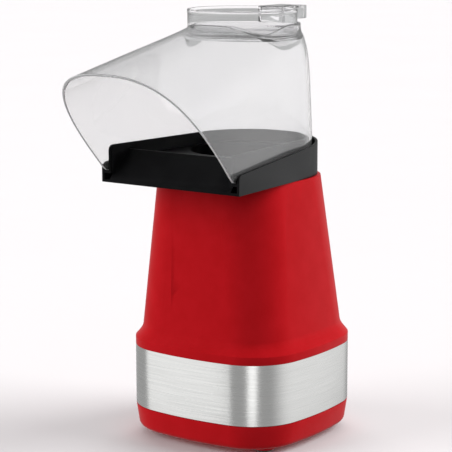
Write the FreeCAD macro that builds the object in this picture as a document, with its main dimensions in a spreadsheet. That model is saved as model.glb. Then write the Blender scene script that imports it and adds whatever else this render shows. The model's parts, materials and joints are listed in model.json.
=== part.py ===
"""Hot-air popcorn maker: red body on a stainless band, black chute tray, clear hood and cup.

Everything is drawn about the popping chamber's upright axis, and then moved along Y, so that the
origin is on the ground under the middle of the whole machine.  +X is the machine's right seen from
the front, the hood's mouth faces -Y, and +Z is up.  Lengths are in millimetres.
"""
import FreeCAD, Part
import Sketcher
import math
import os
import re

# ---------------------------------------------------------------- driving sizes
SIZES = {
    # free gaps
    "slide_gap": 0.3,              # between pieces that lift off each other
    "run_gap": 0.05,               # shaft in its bush, bush and screw in their holes
    # base and band
    "base_half_width": 81.2,
    "base_half_depth": 79.8,
    "base_corner": 46.4,
    "side_radius": 270.0,          # the long sides of the base bow out slightly
    "base_underside": 5.0,
    "base_taper": 3.1,             # how much narrower the base is at its underside
    "base_edge_radius": 6.0,
    "base_wall": 2.6,
    "base_floor": 2.5,
    "base_shoulder": 25.6,
    "shoulder_gap": 0.6,           # shadow line under the band
    "band_top": 77.2,
    "band_sheet": 0.8,
    "sleeve_gap": 0.15,            # band over the plastic walls that carry it
    "sleeve_wall": 2.0,
    "seam_height": 36.0,           # where the tray's wall meets the housing's
    # feet
    "foot_x": 53.5,
    "foot_y": 45.5,
    "foot_radius": 9.2,
    "foot_flare": 1.2,
    "foot_bottom": 2.0,
    "pad_radius": 7.6,
    "pad_recess": 1.0,
    # housing column
    "lip_top": 84.0,
    "cove_height": 11.0,           # the column sweeps out to the lip over this height
    "foot_half_width": 74.0,
    "foot_front": 74.0,
    "foot_back": 75.0,
    "foot_corner_front": 40.0,
    "foot_corner_back": 42.0,
    "column_side_radius": 420.0,
    "column_top": 221.1,
    "top_half_width": 61.5,
    "top_front": 65.0,
    "top_back": 60.9,
    "top_corner_front": 39.7,
    "top_corner_back": 48.0,
    "housing_wall": 2.5,
    "deck_hole": 47.0,
    # screws between tray and housing
    "screw_x": 40.0,
    "screw_y": 63.0,
    "screw_seat": 20.0,
    "screw_end": 62.0,
    "screw_radius": 1.75,
    "screw_head": 3.4,
    "screw_head_height": 2.4,
    "boss_radius": 5.5,
    "rib_width": 3.0,
    # popping chamber and its duct
    "chamber_radius": 45.0,
    "chamber_sheet": 1.0,
    "chamber_floor": 121.0,
    "chamber_flange": 51.0,
    "chamber_dish": 6.6,
    "gasket_height": 1.0,
    "slot_width": 2.2,
    "slot_height": 11.0,
    "slot_bottom": 132.0,
    "slot_count": 18,
    "duct_radius": 53.0,
    "duct_sheet": 0.8,
    "duct_flange": 57.0,
    # heater
    "card_half_width": 43.0,
    "card_sheet": 0.8,
    "card_height": 16.0,
    "coil_inner": 18.0,
    "coil_step": 9.0,
    "coil_wire": 2.0,
    "coil_count": 3,
    "thermostat_radius": 8.0,
    "thermostat_height": 5.0,
    "fuse_radius": 1.8,
    "fuse_length": 10.0,
    # fan and its duct
    "fan_duct_radius": 50.0,
    "fan_duct_wall": 2.0,
    "fan_duct_top": 100.0,
    "fan_duct_ledge": 40.0,
    "fan_radius": 38.0,
    "fan_bottom": 65.0,
    "fan_top": 80.0,
    "fan_plate": 1.2,
    "fan_hub": 6.0,
    "blade_sheet": 1.2,
    "blade_count": 11,
    "collar_radius": 4.0,
    "collar_height": 3.5,
    # motor
    "shaft_radius": 1.6,
    "shaft_bottom": 12.0,
    "shaft_top": 85.5,
    "motor_radius": 18.0,
    "motor_sheet": 1.0,
    "motor_bottom": 20.0,
    "motor_top": 58.0,
    "bush_radius": 4.0,
    "bush_length": 5.0,
    "end_cap_height": 3.0,
    "end_hub_height": 3.0,
    "magnet_inner": 13.4,
    "rotor_radius": 12.6,
    "rotor_bottom": 29.0,
    "rotor_top": 49.0,
    "commutator_radius": 5.0,
    "commutator_bottom": 22.8,
    "commutator_top": 27.5,
    "bracket_radius": 59.0,
    "bracket_sheet": 1.5,
    "bracket_window": 10.0,
    "bracket_window_circle": 33.0,
    "pillar_radius": 4.2,
    "pillar_place": 39.6,
    "small_screw_radius": 1.4,
    "small_screw_head": 2.8,
    "small_screw_length": 12.0,
    "motor_screw_place": 11.0,
    "motor_screw_length": 3.5,
    # electrics
    "board_width": 40.0,
    "board_depth": 22.0,
    "board_sheet": 1.6,
    "board_y": 55.0,
    "board_height": 14.0,
    "standoff_radius": 3.0,
    "standoff_x": 14.0,
    "diode_radius": 1.6,
    "diode_length": 8.0,
    "diode_pitch": 4.5,
    "capacitor_radius": 5.0,
    "capacitor_height": 12.0,
    "terminal_width": 24.0,
    "terminal_depth": 10.0,
    "terminal_height": 12.0,
    "terminal_y": 46.0,
    "lead_radius": 1.1,
    # switch and cord gland, at the back
    "switch_width": 12.6,
    "switch_tall": 19.0,
    "switch_deep": 12.0,
    "switch_z": 56.0,
    "switch_border": 1.4,
    "switch_flange": 1.6,
    "switch_cut_gap": 0.2,
    "rocker_width": 9.4,
    "rocker_tall": 15.0,
    "rocker_back": 3.0,
    "rocker_front": 3.4,
    "rocker_dish": 1.2,
    "rocker_tilt": 10.0,
    "rocker_pin": 1.0,
    "rocker_inset": 1.2,
    "gland_x": 22.0,
    "gland_z": 15.5,
    "gland_bore": 3.2,
    "gland_neck": 4.5,
    "gland_flange": 7.0,
    "gland_flange_height": 2.0,
    "gland_boss": 8.6,
    "gland_boss_proud": 0.6,
    "gland_length": 12.0,
    # chute tray
    "tray_front": 102.7,
    "tray_half_front": 68.6,
    "tray_back_radius": 59.7,
    "tray_back_centre": 6.9,
    "tray_height": 30.9,           # up to the top of the inner wall
    "tray_wall": 2.2,
    "tray_plate": 2.0,
    "tray_rim_front": 16.2,        # outer wall's top above the tray's underside, at the front
    "tray_rim_back": 29.6,         # and at the back
    "tray_rim_round": 3.0,
    "inner_half_front": 61.5,
    "inner_back_radius": 51.3,
    "inner_wall": 2.0,
    "inner_wall_round": 4.5,
    "groove_floor": 9.6,
    "ramp_foot": 3.0,
    "dam_setback": 21.8,
    "dam_height": 25.7,
    "dam_top": 1.4,
    "deck_height": 20.6,
    "throat_radius": 44.0,
    "throat_wall": 2.0,
    "throat_gap": 1.0,             # under the throat, above the chamber's flange
    "tray_hole_gap": 1.5,          # round the chamber's flange
    # hood
    "hood_wall": 2.0,
    "hood_half_back": 55.0,
    "hood_taper": 0.1,             # how fast the sides spread forward, per mm
    "hood_onset": 25.0,            # length over which the spread begins
    "hood_bend_start": 85.0,       # the spread eases off from here forward
    "hood_bend_length": 60.0,
    "hood_spring": 252.0,          # height where the upright sides begin to arch
    "hood_lean": 0.041,
    "hood_crown": 351.0,
    "hood_ridge_y": 48.5,
    "hood_ridge_z": 348.5,
    "hood_ridge_slope": 0.2145,
    "hood_boxy": 6.0,              # squareness of the arch over the chamber
    "hood_round": 2.6,             # and at the mouth
    "hood_round_length": 27.0,
    "hood_reach": 187.0,
    "mouth_lean": 43.0,
    "mouth_drop": 1.6,
    "recess_radius": 48.5,
    "recess_wall": 2.0,
    "recess_bottom": 335.0,
    "recess_floor": 2.0,
    "collar_top": 348.5,
    "collar_dip": 7.1,
    "collar_dip_angle": 56.0,
    "collar_dip_radius": 30.0,
    # measuring cup
    "cup_radius": 45.8,
    "cup_wall": 1.6,
    "cup_floor": 2.0,
    "cup_top": 360.0,
    "rim_radius": 46.1,
    "rim_height": 3.0,
    "rim_wall": 2.2,
    "tab_width": 28.0,
    "tab_reach": 31.6,
    "tab_height": 11.2,
    "tab_wall": 3.0,
    "tab_top": 2.0,
}

doc = FreeCAD.newDocument("popcorn_maker")
sheet = doc.addObject("Spreadsheet::Sheet", "Sizes")
for row, (alias, amount) in enumerate(SIZES.items(), start=1):
    sheet.set("A%d" % row, alias)
    sheet.set("B%d" % row, str(amount))
    sheet.setAlias("B%d" % row, alias)
doc.recompute()

# ---------------------------------------------------------------- helpers
X, Y, Z = (FreeCAD.Vector(*row) for row in ((1, 0, 0), (0, 1, 0), (0, 0, 1)))
AXIS_SHIFT = "(hood_reach - base_half_depth - gland_flange_height) / 2"   # chamber axis, from the origin
parts = {}


def bound(text):
    """Turn bare size names in an expression into references to the sheet."""
    return re.sub(r"\b[a-z_]+\b", lambda word: "Sizes." + word[0] if word[0] in SIZES else word[0], text)


def size(text):
    """The present value of an expression of size names."""
    return float(sheet.evalExpression(bound(text)))


def bind(item, **expressions):
    """Bind properties to expressions; a double underscore stands for a dot."""
    for name, text in expressions.items():
        item.setExpression(name.replace("__", "."), bound(text))


def place(item, at, axis=Z, degrees=0):
    """Turn an object about one axis and bind its position to three expressions."""
    item.Placement = FreeCAD.Placement(FreeCAD.Vector(), FreeCAD.Rotation(axis, degrees))
    for letter, text in zip("xyz", at):
        item.setExpression("Placement.Base." + letter, bound(text))
    return item


def keep(name, item, at=("0", "0", "0"), axis=Z, degrees=0):
    """Make an object a sub-part of the machine: label it and set it out from the chamber axis."""
    item.Label = name
    place(item, (at[0], "%s + %s" % (AXIS_SHIFT, at[1]), at[2]), axis, degrees)
    parts[name] = item
    return item


def primitive(kind, name, at=("0", "0", "0"), axis=Z, degrees=0, owner=None, **sizes):
    """A Part primitive, or with an owner a PartDesign one such as AdditiveBox."""
    item = owner.newObject("PartDesign::" + kind, name) if owner else doc.addObject("Part::" + kind, name)
    place(item, at, axis, degrees)
    bind(item, **sizes)
    return item


def stand_off(item, at, axis, degrees, local=(0, 0, 0)):
    """Fix an object at plain numbers: turned about one axis, then moved within its own axes."""
    for letter in "xyz":
        item.setExpression("Placement.Base." + letter, None)
    turned_place = FreeCAD.Placement(FreeCAD.Vector(*at), FreeCAD.Rotation(axis, degrees))
    item.Placement = turned_place.multiply(FreeCAD.Placement(FreeCAD.Vector(*local), FreeCAD.Rotation()))


def fuse(name, items):
    item = doc.addObject("Part::MultiFuse", name)
    item.Shapes = items
    return item


def cut(name, base, tools):
    item = doc.addObject("Part::Cut", name)
    item.Base = base
    item.Tool = tools[0] if len(tools) == 1 else fuse(name + "_tools", tools)
    return item


def common(name, first, second):
    item = doc.addObject("Part::Common", name)
    item.Base = first
    item.Tool = second
    return item


def group(name, items):
    item = doc.addObject("Part::Compound", name)
    item.Links = items
    return item


def new_body(name):
    return doc.addObject("PartDesign::Body", name + "_body")


def new_sketch(body, name, plane, height="0"):
    """A sketch on one of its own body's origin planes, or free-standing on XY without a body."""
    if body is None:
        sketch = doc.addObject("Sketcher::SketchObject", name)
        bind(sketch, Placement__Base__z=height)
        return sketch
    sketch = body.newObject("Sketcher::SketchObject", name)
    support = next(f for f in body.Origin.OriginFeatures if f.Role == plane)
    sketch.AttachmentSupport = [(support, "")]
    sketch.MapMode = "FlatFace"
    bind(sketch, AttachmentOffset__Base__z=height)
    return sketch


def dimension(sketch, kind, geometry, point, text):
    """Hold a point at a signed distance from the sketch's origin along one of its axes."""
    amount = size(text)
    if abs(amount) < 1e-9:
        axis = -2 if kind == "DistanceX" else -1
        sketch.addConstraint(Sketcher.Constraint("PointOnObject", geometry, point, axis))
        return
    if amount > 0:
        rule = Sketcher.Constraint(kind, -1, 1, geometry, point, amount)
    else:
        rule = Sketcher.Constraint(kind, geometry, point, -1, 1, -amount)
        text = "-(%s)" % text
    index = sketch.addConstraint(rule)
    sketch.setExpression("Constraints[%d]" % index, bound(text))


def radius(sketch, geometry, text):
    index = sketch.addConstraint(Sketcher.Constraint("Radius", geometry, size(text)))
    sketch.setExpression("Constraints[%d]" % index, bound(text))


def polygon(sketch, corners):
    """A closed run of straight lines whose corners are pairs of expressions."""
    spots = [FreeCAD.Vector(size(a), size(b), 0) for a, b in corners]
    count = len(spots)
    for i in range(count):
        sketch.addGeometry(Part.LineSegment(spots[i], spots[(i + 1) % count]))
    for i, (a, b) in enumerate(corners):
        sketch.addConstraint(Sketcher.Constraint("Coincident", i - 1 if i else count - 1, 2, i, 1))
        dimension(sketch, "DistanceX", i, 1, a)
        dimension(sketch, "DistanceY", i, 1, b)
    return sketch


def turned(name, corners):
    """A body turned about Z from a profile of (radius, height) corners."""
    body = new_body(name)
    sketch = polygon(new_sketch(body, name + "_profile", "XZ_Plane"), corners)
    revolution = body.newObject("PartDesign::Revolution", name + "_turn")
    revolution.Profile = (sketch, [""])
    revolution.ReferenceAxis = (sketch, ["V_Axis"])
    revolution.Angle = 360
    return body


def ring(name, inner, outer, bottom, top):
    """A body turned from a rectangle: a tube, washer or disc."""
    return turned(name, [(inner, bottom), (outer, bottom), (outer, top), (inner, top)])


def polar(body, feature, name, count):
    """Repeat one feature of a body round Z."""
    pattern = body.newObject("PartDesign::PolarPattern", name)
    pattern.Originals = [feature]
    pattern.Axis = (next(f for f in body.Origin.OriginFeatures if f.Role == "Z_Axis"), [""])
    pattern.Angle = 360
    bind(pattern, Occurrences=count)
    body.Tip = pattern
    return pattern


def corner_centre(side_centre, side_reach, end_centre, end_reach):
    """Centre of a corner arc that touches a side arc and an end arc from inside."""
    across = end_centre - side_centre
    span = across.Length
    along = (side_reach**2 - end_reach**2 + span**2) / (2 * span)
    off = math.sqrt(side_reach**2 - along**2)
    unit = across / span
    normal = FreeCAD.Vector(-unit.y, unit.x, 0)
    choices = [side_centre + unit * along + normal * (sign * off) for sign in (1, -1)]
    return max(choices, key=lambda spot: spot.dot(FreeCAD.Vector(-side_centre.x, -end_centre.y, 0)))


def rounded_outline(sketch, half, front, back, corner_front, corner_back, bow="side_radius"):
    """Four bowed sides joined by four corner arcs, all tangent; sizes are expressions."""
    bow_size = size(bow)
    ends = {1: size(back), -1: -size(front)}
    sides = {1: size(half), -1: -size(half)}
    side_centre = {s: FreeCAD.Vector(sides[s] - s * bow_size, 0, 0) for s in (1, -1)}
    end_centre = {s: FreeCAD.Vector(0, ends[s] - s * bow_size, 0) for s in (1, -1)}
    rounds = {1: size(corner_back), -1: size(corner_front)}

    def touch(centre, spot):
        return math.atan2(spot.y - centre.y, spot.x - centre.x)

    corners = {}
    for sx, sy in ((1, 1), (-1, 1), (-1, -1), (1, -1)):
        reach = bow_size - rounds[sy]
        corners[sx, sy] = corner_centre(side_centre[sx], reach, end_centre[sy], reach)

    def arc(centre, arc_radius, start, end):
        while end < start:
            end += 2 * math.pi
        return sketch.addGeometry(Part.ArcOfCircle(Part.Circle(centre, Z, arc_radius), start, end))

    order = []
    for sx, sy, first, second in ((1, 1, "side", "end"), (-1, 1, "end", "side"),
                                  (-1, -1, "side", "end"), (1, -1, "end", "side")):
        angles = {"side": touch(side_centre[sx], corners[sx, sy]), "end": touch(end_centre[sy], corners[sx, sy])}
        order.append((corners[sx, sy], rounds[sy], angles[first], angles[second]))
    middles = ((end_centre[1], bow_size), (side_centre[-1], bow_size),
               (end_centre[-1], bow_size), (side_centre[1], bow_size))
    for i, (centre, corner_radius, start, end) in enumerate(order):
        arc(centre, corner_radius, start, end)
        middle, middle_radius = middles[i]
        arc(middle, middle_radius, end, order[(i + 1) % 4][2])
    for i in range(8):
        sketch.addConstraint(Sketcher.Constraint("Tangent", i, 2, (i + 1) % 8, 1))
    for i, text in ((0, corner_back), (2, corner_back), (4, corner_front), (6, corner_front)):
        radius(sketch, i, text)
    for i in (1, 3, 5, 7):
        radius(sketch, i, bow)
    for i, text in ((3, "(%s) - (%s)" % (bow, half)), (7, "(%s) - (%s)" % (half, bow))):
        sketch.addConstraint(Sketcher.Constraint("PointOnObject", i, 3, -1))
        dimension(sketch, "DistanceX", i, 3, text)
    for i, text in ((1, "(%s) - (%s)" % (back, bow)), (5, "(%s) - (%s)" % (bow, front))):
        sketch.addConstraint(Sketcher.Constraint("PointOnObject", i, 3, -2))
        dimension(sketch, "DistanceY", i, 3, text)
    return sketch


def base_outline(body, name, height, inset):
    """The base's outline at one height, moved in by an inset."""
    sketch = new_sketch(body, name, "XY_Plane", height)
    inwards = " - (%s)" % inset
    return rounded_outline(sketch, "base_half_width" + inwards, "base_half_depth" + inwards,
                           "base_half_depth" + inwards, "base_corner" + inwards,
                           "base_corner" + inwards, "side_radius" + inwards)


def loft(body, kind, name, first, second):
    item = body.newObject("PartDesign::" + kind, name)
    item.Profile = (first, [""])
    item.Sections = [(second, [""])]
    item.Ruled = True
    return item


def pad(body, name, sketch, length):
    item = body.newObject("PartDesign::Pad", name)
    item.Profile = (sketch, [""])
    bind(item, Length=length)
    return item


def pocket(body, name, sketch, length, upward=True):
    """Cut a sketch's outline out of a body, upwards from the sketch or downwards."""
    item = body.newObject("PartDesign::Pocket", name)
    item.Profile = (sketch, [""])
    item.Reversed = upward
    bind(item, Length=length)
    return item


def screw(name, at, head, head_height, shank, length, upward):
    """A pan-head screw whose head's underside is at the given place."""
    x, y, z = at
    head_z = "(%s) - (%s)" % (z, head_height) if upward else z
    shank_z = z if upward else "(%s) - (%s)" % (z, length)
    return fuse(name, [
        primitive("Cylinder", name + "_head", (x, y, head_z), Radius=head, Height=head_height),
        primitive("Cylinder", name + "_shank", (x, y, shank_z), Radius=shank, Height=length)])



# ---------------------------------------------------------------- base tray
SCREW_PLACES = [(sx, sy) for sx in ("", "-") for sy in ("", "-")]


def base_tray():
    body = new_body("base_tray")
    floor = base_outline(body, "tray_floor_outline", "base_underside", "base_taper")
    shoulder = base_outline(body, "tray_shoulder_outline", "base_shoulder", "0")
    loft(body, "AdditiveLoft", "tray_shell", floor, shoulder)
    doc.recompute()
    shell = body.Tip
    low = ["Edge%d" % (i + 1) for i, edge in enumerate(shell.Shape.Edges)
           if edge.BoundBox.ZMax < size("base_underside") + 0.01]
    edge = body.newObject("PartDesign::Fillet", "tray_edge")
    edge.Base = (shell, low)
    bind(edge, Radius="base_edge_radius")
    sleeve = base_outline(body, "tray_sleeve_outline", "base_shoulder", "band_sheet + sleeve_gap")
    pad(body, "tray_sleeve", sleeve, "seam_height - base_shoulder")
    hollow_low = base_outline(body, "tray_hollow_low", "base_underside + base_floor", "base_taper + base_wall")
    hollow_top = base_outline(body, "tray_hollow_top", "seam_height", "band_sheet + sleeve_gap + sleeve_wall")
    loft(body, "SubtractiveLoft", "tray_hollow", hollow_low, hollow_top)
    floor_top = "base_underside + base_floor"
    for i, (sx, sy) in enumerate(SCREW_PLACES):
        foot = (sx + "foot_x", sy + "foot_y", "foot_bottom")
        primitive("AdditiveCone", "foot_boss_%d" % i, foot, owner=body, Radius1="foot_radius",
                  Radius2="foot_radius + foot_flare", Height="base_underside + base_floor - foot_bottom")
        primitive("SubtractiveCylinder", "pad_recess_%d" % i, foot, owner=body,
                  Radius="pad_radius + run_gap", Height="pad_recess")
        spot = (sx + "screw_x", sy + "screw_y")
        primitive("AdditiveCylinder", "tower_%d" % i, spot + ("base_underside + base_floor / 2",), owner=body,
                  Radius="boss_radius", Height="seam_height - base_underside - base_floor / 2")
        primitive("SubtractiveCylinder", "tower_hole_%d" % i, spot + ("0",), owner=body,
                  Radius="screw_radius + run_gap", Height="seam_height + 1")
        primitive("SubtractiveCylinder", "tower_sink_%d" % i, spot + ("0",), owner=body,
                  Radius="screw_head + 0.4", Height="screw_seat")
        pillar = (sx + "pillar_place", sy + "pillar_place")
        primitive("AdditiveCylinder", "pillar_%d" % i, pillar + (floor_top + " - 1",), owner=body,
                  Radius="pillar_radius", Height="motor_top - (%s) + 1" % floor_top)
        primitive("SubtractiveCylinder", "pillar_hole_%d" % i,
                  pillar + ("motor_top - small_screw_length",), owner=body,
                  Radius="small_screw_radius + run_gap", Height="small_screw_length + 1")
    for i, side in enumerate(("", "-")):
        primitive("AdditiveCylinder", "standoff_%d" % i,
                  (side + "standoff_x", "-board_y", floor_top + " - 1"), owner=body,
                  Radius="standoff_radius", Height="board_height - (%s) + 1" % floor_top)
    boss_depth = "base_half_depth - base_taper - base_wall - 4"
    primitive("AdditiveCylinder", "gland_boss", ("gland_x", boss_depth, "gland_z"), X, -90, owner=body,
              Radius="gland_boss", Height="base_half_depth - gland_boss_proud - (%s)" % boss_depth)
    primitive("SubtractiveCylinder", "gland_hole", ("gland_x", boss_depth + " - 1", "gland_z"), X, -90,
              owner=body, Radius="gland_neck + run_gap", Height="base_half_depth")
    slot = primitive("SubtractiveBox", "air_slot", ("motor_radius + 3", "-slot_height / 5", "0"), owner=body,
                     Length="slot_height + 6", Width="slot_height / 2.5", Height="base_underside + base_floor + 1")
    polar(body, slot, "air_slots", "12")
    keep("base_tray", body)


base_tray()


def foot_pads():
    pads = []
    for i, (sx, sy) in enumerate(SCREW_PLACES):
        body = turned("foot_pad_%d" % i, [
            ("0", "0"), ("pad_radius - 1", "0"), ("pad_radius", "1"),
            ("pad_radius", "foot_bottom + pad_recess"), ("0", "foot_bottom + pad_recess")])
        pads.append(place(body, (sx + "foot_x", sy + "foot_y", "0")))
    keep("foot_pads", group("foot_pads_group", pads))


foot_pads()


def base_screws():
    keep("base_screws", group("base_screws_group", [
        screw("base_screw_%d" % i, (sx + "screw_x", sy + "screw_y", "screw_seat"), "screw_head",
              "screw_head_height", "screw_radius", "screw_end - screw_seat", True)
        for i, (sx, sy) in enumerate(SCREW_PLACES)]))


base_screws()


# ---------------------------------------------------------------- stainless band
def switch_cut(body, name):
    """The switch's rectangular hole, through a rear wall."""
    width = "switch_width + 2 * switch_cut_gap"
    tall = "switch_tall + 2 * switch_cut_gap"
    primitive("SubtractiveBox", name, ("-(%s) / 2" % width, "base_half_depth - 12",
              "switch_z - (%s) / 2" % tall), owner=body, Length=width, Width="30", Height=tall)


def trim_band():
    body = new_body("trim_band")
    bottom = "base_shoulder + shoulder_gap"
    pad(body, "band_solid", base_outline(body, "band_outline", bottom, "0"), "band_top - (%s)" % bottom)
    pocket(body, "band_hollow", base_outline(body, "band_inside", bottom, "band_sheet"), "band_top")
    switch_cut(body, "band_switch_cut")
    keep("trim_band", body)


trim_band()


# ---------------------------------------------------------------- housing
def column_outline(body, name, height, inset, flare="0"):
    """The column's outline at a height, moved in by an inset, or flared by a share towards the lip."""
    share = "((%s) - lip_top) / (column_top - lip_top)" % height
    sketch = new_sketch(body, name, "XY_Plane", height)

    def blend(foot, top, lip):
        column = "(%s + (%s - %s) * %s - (%s))" % (foot, top, foot, share, inset)
        return "%s + (%s - %s) * %s" % (column, lip, column, flare)

    return rounded_outline(sketch, blend("foot_half_width", "top_half_width", "base_half_width"),
                           blend("foot_front", "top_front", "base_half_depth"),
                           blend("foot_back", "top_back", "base_half_depth"),
                           blend("foot_corner_front", "top_corner_front", "base_corner"),
                           blend("foot_corner_back", "top_corner_back", "base_corner"),
                           blend("column_side_radius", "column_side_radius", "side_radius"))


def housing():
    body = new_body("housing")
    pad(body, "lip", base_outline(body, "lip_outline", "band_top", "0"), "lip_top - band_top")
    cove = body.newObject("PartDesign::AdditiveLoft", "cove")
    stages = [column_outline(body, "cove_outline_%d" % i, "lip_top + cove_height * %d / 4" % i, "0",
                             "(1 - %d / 4) ^ 2" % i) for i in range(5)]
    cove.Profile = (stages[0], [""])
    cove.Sections = [(stage, [""]) for stage in stages[1:]]
    top = column_outline(body, "column_top_outline", "column_top", "0")
    foot = column_outline(body, "column_foot_outline", "lip_top + cove_height", "0")
    loft(body, "AdditiveLoft", "column", foot, top)
    sleeve = base_outline(body, "housing_sleeve_outline", "seam_height", "band_sheet + sleeve_gap")
    pad(body, "housing_sleeve", sleeve, "band_top - seam_height")
    inside = base_outline(body, "housing_sleeve_inside", "seam_height",
                          "band_sheet + sleeve_gap + sleeve_wall")
    pocket(body, "sleeve_hollow", inside, "band_top - seam_height + 2")
    low = column_outline(body, "column_inside_low", "band_top", "housing_wall")
    high = column_outline(body, "column_inside_high", "column_top - housing_wall", "housing_wall")
    loft(body, "SubtractiveLoft", "column_hollow", low, high)
    primitive("SubtractiveCylinder", "deck_opening", ("0", "0", "column_top - 2 * housing_wall"), owner=body,
              Radius="deck_hole", Height="3 * housing_wall")
    for i, (sx, sy) in enumerate(SCREW_PLACES):
        spot = (sx + "screw_x", sy + "screw_y", "seam_height")
        primitive("AdditiveCylinder", "boss_%d" % i, spot, owner=body, Radius="boss_radius",
                  Height="lip_top - seam_height - 4")
        rib_end = ("(base_half_depth - band_sheet - sleeve_gap - sleeve_wall / 2"
                   " - screw_x * screw_x / (2 * side_radius))")
        rib_y = "screw_y" if sy == "" else "-" + rib_end
        primitive("AdditiveBox", "boss_rib_%d" % i, (sx + "screw_x - rib_width / 2", rib_y, "seam_height"),
                  owner=body, Length="rib_width", Width=rib_end + " - screw_y",
                  Height="lip_top - seam_height - 4")
        primitive("SubtractiveCylinder", "boss_hole_%d" % i, spot, owner=body,
                  Radius="screw_radius + run_gap", Height="screw_end - seam_height + 1")
    switch_cut(body, "housing_switch_cut")
    keep("housing", body)


housing()


# ---------------------------------------------------------------- popping chamber, duct and heater
FLANGE_BOTTOM = "column_top + gasket_height"
CARD_TOP = "fan_duct_top + card_height"


def popping_chamber():
    inner = "chamber_radius - chamber_sheet"
    body = turned("popping_chamber", [
        ("0", "chamber_floor"), ("chamber_radius - chamber_dish", "chamber_floor"),
        ("chamber_radius", "chamber_floor + chamber_dish"), ("chamber_radius", FLANGE_BOTTOM),
        ("chamber_flange", FLANGE_BOTTOM), ("chamber_flange", FLANGE_BOTTOM + " + chamber_sheet"),
        (inner, FLANGE_BOTTOM + " + chamber_sheet"),
        (inner, "chamber_floor + chamber_sheet + chamber_dish * 0.94"),
        (inner + " - chamber_dish * 0.94", "chamber_floor + chamber_sheet"),
        ("0", "chamber_floor + chamber_sheet")])
    slot = primitive("SubtractiveBox", "louvre", ("chamber_radius - 3", "0", "slot_bottom"), X, 35, owner=body,
                     Length="6", Width="slot_width", Height="slot_height")
    polar(body, slot, "louvres", "slot_count")
    keep("popping_chamber", body)


popping_chamber()
keep("chamber_gasket", ring("chamber_gasket", "chamber_radius + 1", "chamber_flange",
                            "column_top", FLANGE_BOTTOM))
keep("heat_duct", turned("heat_duct", [
    ("duct_radius - duct_sheet", "fan_duct_top"), ("duct_flange", "fan_duct_top"),
    ("duct_flange", "fan_duct_top + duct_sheet"), ("duct_radius", "fan_duct_top + duct_sheet"),
    ("duct_radius", "column_top - housing_wall"),
    ("duct_radius - duct_sheet", "column_top - housing_wall")]))


def heater():
    """Crossed mica cards with the coil's rings lying in notches along their upper edges."""
    cards = fuse("card_pair", [
        primitive("Box", "card_x", ("-card_half_width", "-card_sheet / 2", "fan_duct_top"),
                  Length="2 * card_half_width", Width="card_sheet", Height="card_height"),
        primitive("Box", "card_y", ("-card_sheet / 2", "-card_half_width", "fan_duct_top"),
                  Length="card_sheet", Width="2 * card_half_width", Height="card_height")])
    rings, notches = [], []
    for i in range(int(size("coil_count"))):
        for name, grow, store in (("coil_ring", "0", rings), ("card_notch", "run_gap", notches)):
            store.append(primitive("Torus", "%s_%d" % (name, i), ("0", "0", CARD_TOP),
                                   Radius1="coil_inner + coil_step * %d" % i,
                                   Radius2="coil_wire + %s" % grow))
    keep("heater_cards", cut("notched_cards", cards, notches))
    keep("heater_coil", group("coil_rings", rings))
    keep("thermostat", turned("thermostat", [
        ("0", "chamber_floor - thermostat_height"),
        ("thermostat_radius * 0.6", "chamber_floor - thermostat_height"),
        ("thermostat_radius * 0.6", "chamber_floor - thermostat_height / 2"),
        ("thermostat_radius", "chamber_floor - thermostat_height / 2"),
        ("thermostat_radius", "chamber_floor"), ("0", "chamber_floor")]))
    keep("thermal_fuse", primitive("Cylinder", "fuse_body",
         Radius="fuse_radius", Height="fuse_length"),
         ("fuse_length / 2 - 1", "fan_duct_ledge + 3", "fan_duct_top + fuse_radius"), Y, 90)


heater()

# ---------------------------------------------------------------- fan, duct and motor
keep("fan_duct", turned("fan_duct", [
    ("fan_duct_radius - fan_duct_wall", "motor_top + bracket_sheet"),
    ("fan_duct_radius", "motor_top + bracket_sheet"),
    ("fan_duct_radius", "fan_duct_top - fan_duct_wall"), ("duct_flange", "fan_duct_top - fan_duct_wall"),
    ("duct_flange", "fan_duct_top"), ("fan_duct_ledge", "fan_duct_top"),
    ("fan_duct_ledge", "fan_duct_top - fan_duct_wall"),
    ("fan_duct_radius - fan_duct_wall", "fan_duct_top - fan_duct_wall")]))


def motor_bracket():
    body = ring("motor_bracket", "bush_radius + 0.5", "bracket_radius", "motor_top",
                "motor_top + bracket_sheet")
    below, height = "motor_top - 1", "bracket_sheet + 2"
    for i, (sx, sy) in enumerate(SCREW_PLACES):
        primitive("SubtractiveCylinder", "bracket_hole_%d" % i,
                  (sx + "pillar_place", sy + "pillar_place", below), owner=body,
                  Radius="small_screw_radius + run_gap", Height=height)
    for i, side in enumerate(("", "-")):
        primitive("SubtractiveCylinder", "motor_hole_%d" % i, (side + "motor_screw_place", "0", below),
                  owner=body, Radius="small_screw_radius + run_gap", Height=height)
    window = primitive("SubtractiveCylinder", "window", ("bracket_window_circle", "0", below), owner=body,
                       Radius="bracket_window", Height=height)
    polar(body, window, "windows", "6")
    keep("motor_bracket", body)
    top = "motor_top + bracket_sheet"
    keep("bracket_screws", group("bracket_screws_group", [
        screw("bracket_screw_%d" % i, (sx + "pillar_place", sy + "pillar_place", top), "small_screw_head",
              "small_screw_radius", "small_screw_radius", "small_screw_length", False)
        for i, (sx, sy) in enumerate(SCREW_PLACES)]))
    keep("motor_screws", group("motor_screws_group", [
        screw("motor_screw_%d" % i, (side + "motor_screw_place", "0", top), "small_screw_head",
              "small_screw_radius", "small_screw_radius", "motor_screw_length", False)
        for i, side in enumerate(("", "-"))]))


motor_bracket()


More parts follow.
